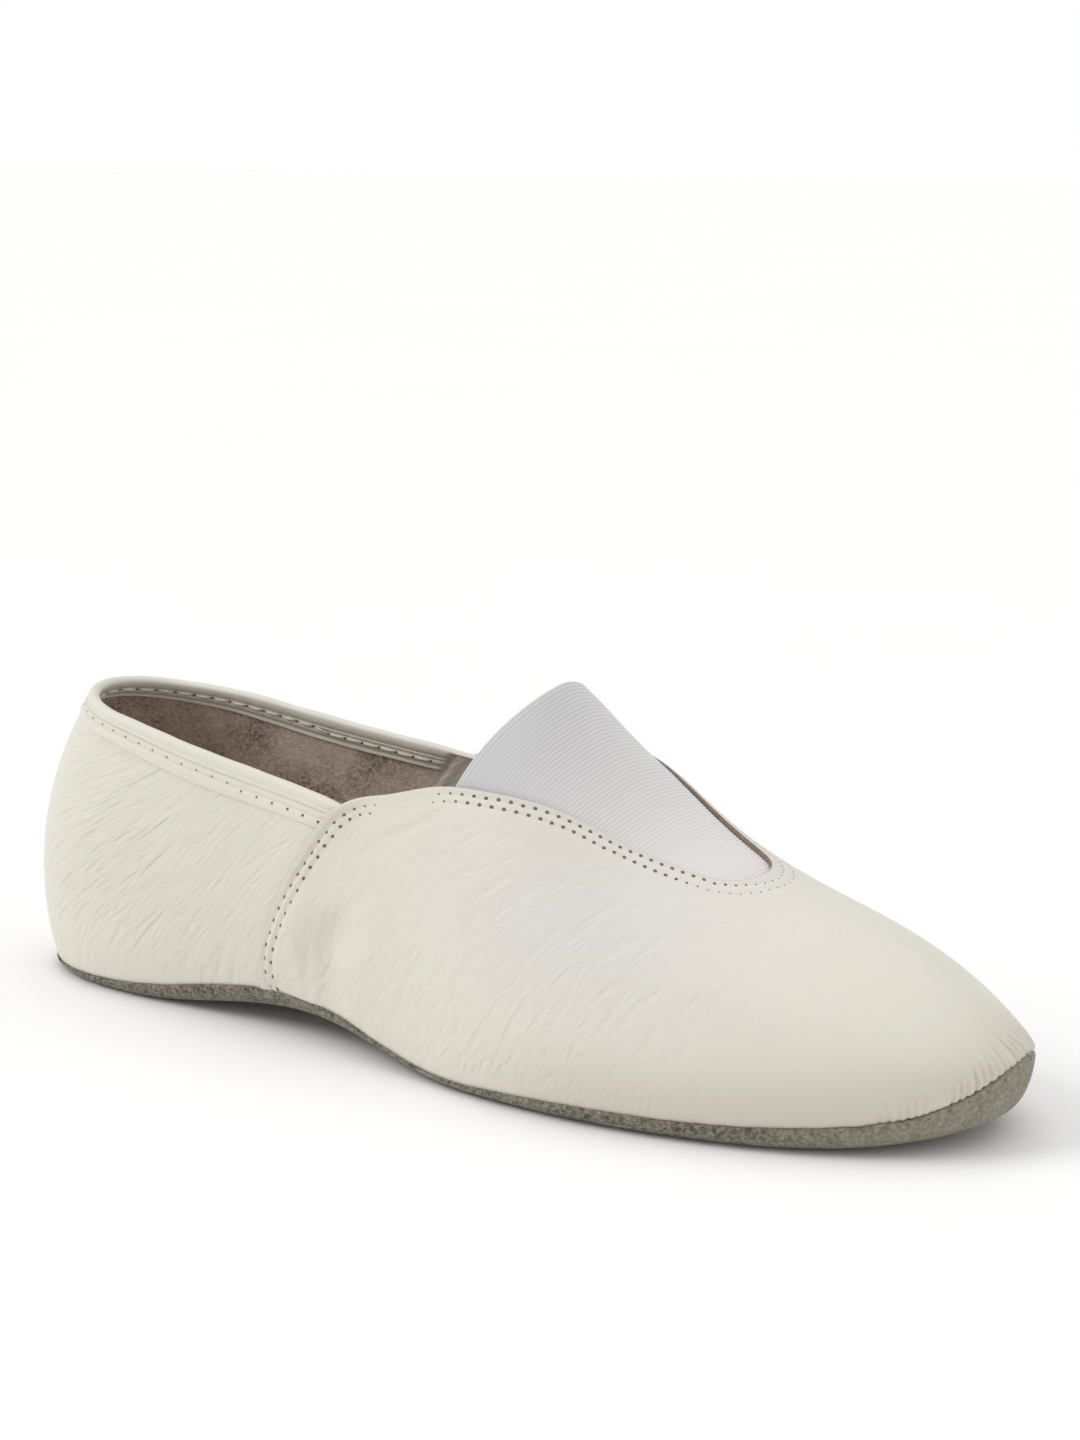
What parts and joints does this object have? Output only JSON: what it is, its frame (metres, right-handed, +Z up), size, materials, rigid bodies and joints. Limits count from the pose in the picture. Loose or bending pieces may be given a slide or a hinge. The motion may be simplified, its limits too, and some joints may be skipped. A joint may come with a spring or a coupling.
{
  "type": "leather gymnastics slipper",
  "caption": "Soft slip-on athletic shoe for gymnastics: thin leather upper with a bound collar, elastic instep panel and a turned-up suede sole.",
  "frame": {"origin": "on the floor, under the middle of the shoe's box", "axes": "+X from heel to toe, +Z up, -Y the side that the picture shows"},
  "size_m": [0.249, 0.0812, 0.0813],
  "materials": {
    "upper_leather": "off-white soft leather, fine grain, satin",
    "sole_suede": "grey-brown suede, napped, matt",
    "sock_lining": "brown suede flesh side, matt",
    "elastic_webbing": "off-white ribbed knitted elastic",
    "binding_leather": "off-white soft leather, satin"
  },
  "bodies": {
    "root": {"upper": "upper_leather", "outsole": "sole_suede", "insole": "sock_lining", "elastic_gusset": "elastic_webbing", "collar_binding": "binding_leather"}
  },
  "joints": []
}
